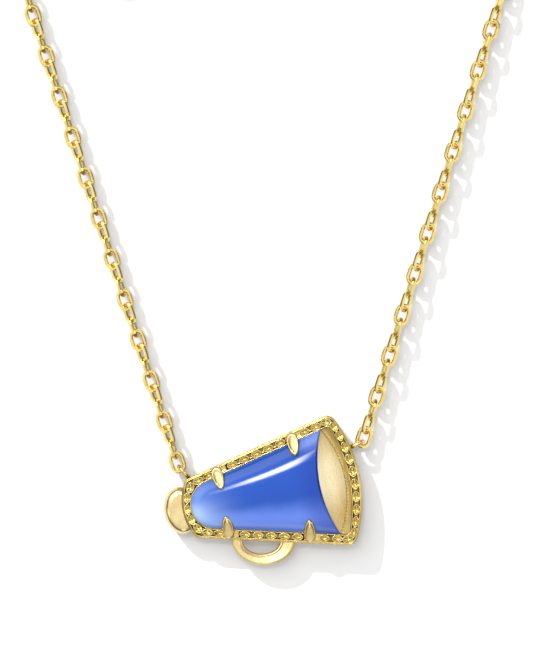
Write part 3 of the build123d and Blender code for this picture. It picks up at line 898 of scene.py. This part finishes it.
def prong_outline():
    """Teardrop in the plane: base at -y, tip at +y."""
    made = []
    widest = 2 * PRONG_WIDEST - 1
    for i in range(PRONG_ROUND):
        angle = 2 * pi * i / PRONG_ROUND
        y = -cos(angle)
        power, root = PRONG_ENDS["tip" if y > widest else "base"]
        reach = (y - widest) / (1 - widest if y > widest else 1 + widest)
        half = (1 - abs(reach) ** power) ** root
        made.append((PRONG_HALF_WIDE * (half if angle < pi else -half), PRONG_HALF_LONG * y))
    return made


def prong_mesh(x, side, lean):
    """Closed claw with a raised edge round a dish, laid from the band up on to the stone."""
    tip_y = STONE_HALF_WIDTH + SLOPE * x - PRONG_REACH
    low, high = RIM_TOP - PRONG_SUNK, dome_z(x, tip_y) - PRONG_SUNK
    middle = Vector((x, side * (tip_y + PRONG_HALF_LONG), 0))
    turn = Matrix.Rotation(radians(lean), 3, "Z") @ Matrix.Diagonal((side, -side, 1))
    outline = prong_outline()

    def put(share, px, py, height):
        z = low + (high - low) * (py * share / PRONG_HALF_LONG + 1) / 2 + height
        return tuple(middle + turn @ Vector((px * share, py * share, z)))

    verts = [put(0.0, 0.0, 0.0, PRONG_HIGH * PRONG_DISH)]
    faces = []
    for share, height in PRONG_PROFILE:
        verts += [put(share, px, py, PRONG_HIGH * height) for px, py in outline]
    verts += [(*put(1.0, px, py, 0.0)[:2], PRONG_FOOT_Z) for px, py in outline]
    verts.append((middle.x, middle.y, PRONG_FOOT_Z))
    n = PRONG_ROUND
    rings = [1 + k * n for k in range(len(PRONG_PROFILE) + 1)]
    for i in range(n):
        j = (i + 1) % n
        faces.append((0, 1 + i, 1 + j))
        faces += [(a + i, b + i, b + j, a + j) for a, b in zip(rings, rings[1:])]
        faces.append((rings[-1] + i, len(verts) - 1, rings[-1] + j))
    return mesh_from("prong", verts, faces, smooth=True)


for corner, lean in PRONG_LEAN.items():
    row, end = corner.split("_")
    claw = prong_mesh(PRONG_AT[end], 1 if row == "upper" else -1, lean)
    pendant_piece(f"prong_{corner}_claw", claw, golds["claw_gold"], f"prong_{corner}")

# ---------------------------------------------------------------- handle
HANDLE_X = -0.75
HANDLE_OUTER = (3.15, 2.4)  # half lengths of the ellipse, along the frame's wall and away from it
HANDLE_INNER = (1.85, 1.3)
HANDLE_INNER_SHIFT = -0.25
HANDLE_TOP = 1.65
HANDLE_SET_IN = 0.1  # how far its ends go into the frame's wall
HANDLE_STEPS = 140
# (share of the width from the outside, drop below the top)
HANDLE_PROFILE = (
    *((0.0, 1.2), (0.0, 0.30), (0.02, 0.18), (0.06, 0.09), (0.12, 0.03), (0.20, 0.0), (0.30, 0.02)),
    *((0.36, 0.05), (0.42, 0.05), (0.68, 0.05), (0.73, 0.14), (0.77, 0.14), (0.81, 0.05), (0.88, 0.03)),
    *((0.95, 0.08), (0.99, 0.18), (1.0, 0.30), (1.0, 1.2)),
)


def handle_mesh():
    """Half ring under the frame, with a rounded outside and a groove along its inside."""
    origin = Vector((HANDLE_X, -HALF_WIDTH - HANDLE_X * FLARE_SLOPE, 0))
    turn = Matrix.Rotation(radians(-FLARE), 3, "Z")
    verts, faces = [], []
    rows = len(HANDLE_PROFILE)
    outer_end = asin(HANDLE_SET_IN / HANDLE_OUTER[1])
    inner_end = asin(HANDLE_SET_IN / HANDLE_INNER[1])
    for i in range(HANDLE_STEPS + 1):
        share = i / HANDLE_STEPS
        a = -outer_end + (pi + 2 * outer_end) * share
        b = -inner_end + (pi + 2 * inner_end) * share
        outer = Vector((HANDLE_OUTER[0] * cos(a), -HANDLE_OUTER[1] * sin(a), 0))
        inner = Vector((HANDLE_INNER_SHIFT + HANDLE_INNER[0] * cos(b), -HANDLE_INNER[1] * sin(b), 0))
        for across, drop in HANDLE_PROFILE:
            place = origin + turn @ outer.lerp(inner, across)
            verts.append((place.x, place.y, HANDLE_TOP - drop))
    for i in range(HANDLE_STEPS):
        a, b = i * rows, (i + 1) * rows
        faces += [(a + j, a + (j + 1) % rows, b + (j + 1) % rows, b + j) for j in range(rows)]
    faces += [tuple(reversed(range(rows))), tuple(HANDLE_STEPS * rows + j for j in range(rows))]
    return mesh_from("handle_ring", verts, faces, smooth=True)


pendant_piece("handle_ring", handle_mesh(), golds["handle_gold"], "handle")

# ---------------------------------------------------------------- floor of the mouth
# the mouth floor's painted sheen and painted shade, and the colour of its brushed streaks
MOUTH_SHEEN = linear(252, 236, 194)
MOUTH_SHADE = linear(196, 164, 96)
MOUTH_STREAK = linear(222, 196, 136)
BRUSH = (9.0, 0.5, 1.0)  # how fine the brushing is across the mouth and along it
SHEEN_Y = 0.6
FRONT_SHADE_X = (6.6, 8.4)  # where the front side's painted shade begins and is full


def mouth_material():
    """Brushed bell floor with painted light: a pale painted sheen in its middle and towards the stone,
    painted shade at both ends and at the front.
    """
    made, n, shader = material("mouth_gold")
    place = n.object_place()
    x, y, _ = n.split(place)
    stretched = n.add("Mapping")
    n.feed(stretched.inputs["Vector"], place)
    stretched.inputs["Scale"].default_value = BRUSH
    brushed = n.noise(stretched.outputs[0], 1.6, 3.0)
    # painted sheen along the middle, painted shade towards both ends and the front
    from_sheen = n.math("ABSOLUTE", n.math("SUBTRACT", y, SHEEN_Y))
    ends = n.spread(from_sheen, 0.6, 4.6, 0.0, 1.0, smooth=True)
    front = n.spread(x, *FRONT_SHADE_X, 0.0, 0.45, smooth=True)
    share = n.math("ADD", n.math("MULTIPLY", ends, 0.75), front, clamp=True)
    colour = n.mix(share, MOUTH_SHEEN, MOUTH_SHADE)
    colour = n.mix(n.spread(brushed, 0.4, 0.7, 0.0, 0.15), colour, MOUTH_STREAK)
    n.feed(shader.inputs["Base Color"], colour)
    shader.inputs["Metallic"].default_value = 1.0
    n.feed(shader.inputs["Roughness"], n.spread(brushed, *NOISE_RANGE, 0.2, 0.32))
    n.feed(shader.inputs["Normal"], n.bump(brushed, 0.03))
    return made


mouth_gold = mouth_material()


# ---------------------------------------------------------------- finish of the carried-over pieces
def mottled(name, scale, one, other, rough):
    """Plain material whose colour drifts between two."""
    made, n, shader = material(name)
    n.feed(shader.inputs["Base Color"], n.mix(n.noise(n.object_place(), scale), one, other))
    shader.inputs["Roughness"].default_value = rough
    return made, shader


foil, shader = mottled("foil", 3.0, (0.7, 0.76, 0.9, 1), (0.85, 0.9, 1.0, 1), 0.25)
shader.inputs["Metallic"].default_value = 1.0

FINISH = {
    "frame": golds["band_gold"],
    "mouth_plate": mouth_gold,
    "mouth_rim": golds["polished_gold"],
    "mouthpiece": golds["satin_gold"],
    "handle": golds["handle_gold"],
    "back_plate": golds["back_gold"],
    "stone_carrier": golds["back_gold"],
    "stone_foil": foil,
    "clasp_spring": steel,
}
for name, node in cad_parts.items():
    if name.startswith("prong"):
        use(node, golds["claw_gold"])
    else:
        use(node, FINISH.get(name, golds["polished_gold"]))
for piece in chain_pieces:
    use(piece, golds["chain_gold"])

# ---------------------------------------------------------------- floor, world and light
FLOOR_HALF = 1.5  # m
FLOOR_DROP = 0.00002  # m below the surface that the object lies on

work = bmesh.new()
bmesh.ops.create_grid(work, x_segments=1, y_segments=1, size=FLOOR_HALF)
floor_mesh = bpy.data.meshes.new("floor")
work.to_mesh(floor_mesh)
work.free()
floor = new_object("floor", floor_mesh)
floor.location = (0, 0, -FLOOR_DROP)
white, shader = mottled("white_card", 0.4, (0.64, 0.64, 0.64, 1), (0.66, 0.66, 0.66, 1), 0.9)
shader.inputs["Emission Color"].default_value = (1, 1, 1, 1)
shader.inputs["Emission Strength"].default_value = 0.17
shader.inputs["Specular IOR Level"].default_value = 0.1
use(floor, white)


def direction(azimuth, elevation):
    """Unit vector towards a point of the studio, with the azimuth in the megaphone's own axes."""
    level = cos(radians(elevation))
    return Vector((cos(radians(azimuth)) * level, sin(radians(azimuth)) * level, sin(radians(elevation))))


KEY_AZIMUTH = 116.7
# the studio's soft boxes: azimuth, elevation, half width and half height in degrees, brightness
PANELS = (
    (KEY_AZIMUTH, 42, 34, 22, 2.1),
    (-4.0, 35, 8, 26, 1.6),
    (-100.0, 32, 11, 16, 1.7),
    (182.0, 35, 7, 20, 1.4),
    (60.0, 25, 8, 14, 1.6),
)
STREAK = (103.0, 70.5, 7.8, 4.4, 34.0)  # the small bright box that the stone mirrors
STREAK_SOFT = 0.75
IN_FRONT = 0.02  # a direction this far into a box's half of the studio gets its full light
SKY_HEIGHT = (0.3, 0.95)  # upward share of a direction, from the dark horizon to the bright ceiling
SKY_LEVEL = (0.14, 0.92)
SUN_ELEVATION = 26
SUN_STRENGTH = 4.0
SUN_WIDE = 1.0  # degrees
world = bpy.data.worlds.new("studio")
scene.world = world
world.use_nodes = True
w = Nodes(world.node_tree)
background = world.node_tree.nodes["Background"]
towards = w.add("TexCoord").outputs["Generated"]


def dot(vector):
    node = w.add("VectorMath", operation="DOT_PRODUCT")
    w.feed(node.inputs[0], towards)
    w.feed(node.inputs[1], tuple(vector))
    return node.outputs["Value"]


def panel(azimuth, elevation, half_wide, half_high, amount, across=None, soft=0.45):
    """A soft-edged lit rectangle in the studio; across is its wide direction, level if not given."""
    middle = direction(azimuth, elevation)
    across = (across or Vector((0, 0, 1)).cross(middle)).normalized()
    across = (across - middle * across.dot(middle)).normalized()
    level = w.spread(dot(middle), 0.0, IN_FRONT, 0.0, amount)
    for axis, half in ((across, half_wide), (middle.cross(across), half_high)):
        edge = sin(radians(half))
        inside = w.spread(w.math("ABSOLUTE", dot(axis)), edge * (1 - soft), edge, 1.0, 0.0, smooth=True)
        level = w.math("MULTIPLY", level, inside)
    return level


level = w.spread(w.split(towards)[2], *SKY_HEIGHT, *SKY_LEVEL, smooth=True)
for box in PANELS:
    level = w.math("ADD", level, panel(*box))
level = w.math("ADD", level, panel(*STREAK, across=Vector((1, 0, 0)), soft=STREAK_SOFT))
shade = w.add("CombineColor")
for channel in range(3):
    w.feed(shade.inputs[channel], level)
w.feed(background.inputs["Color"], shade.outputs[0])
background.inputs["Strength"].default_value = 1.0

sun_data = bpy.data.lights.new("key", "SUN")
sun_data.energy = SUN_STRENGTH
sun_data.angle = radians(SUN_WIDE)
sun = bpy.data.objects.new("key", sun_data)
sun.location = direction(KEY_AZIMUTH, SUN_ELEVATION)
sun.rotation_euler = sun.location.to_track_quat("Z", "Y").to_euler()
sun.visible_glossy = False
scene.collection.objects.link(sun)

scene.view_settings.view_transform = "Standard"
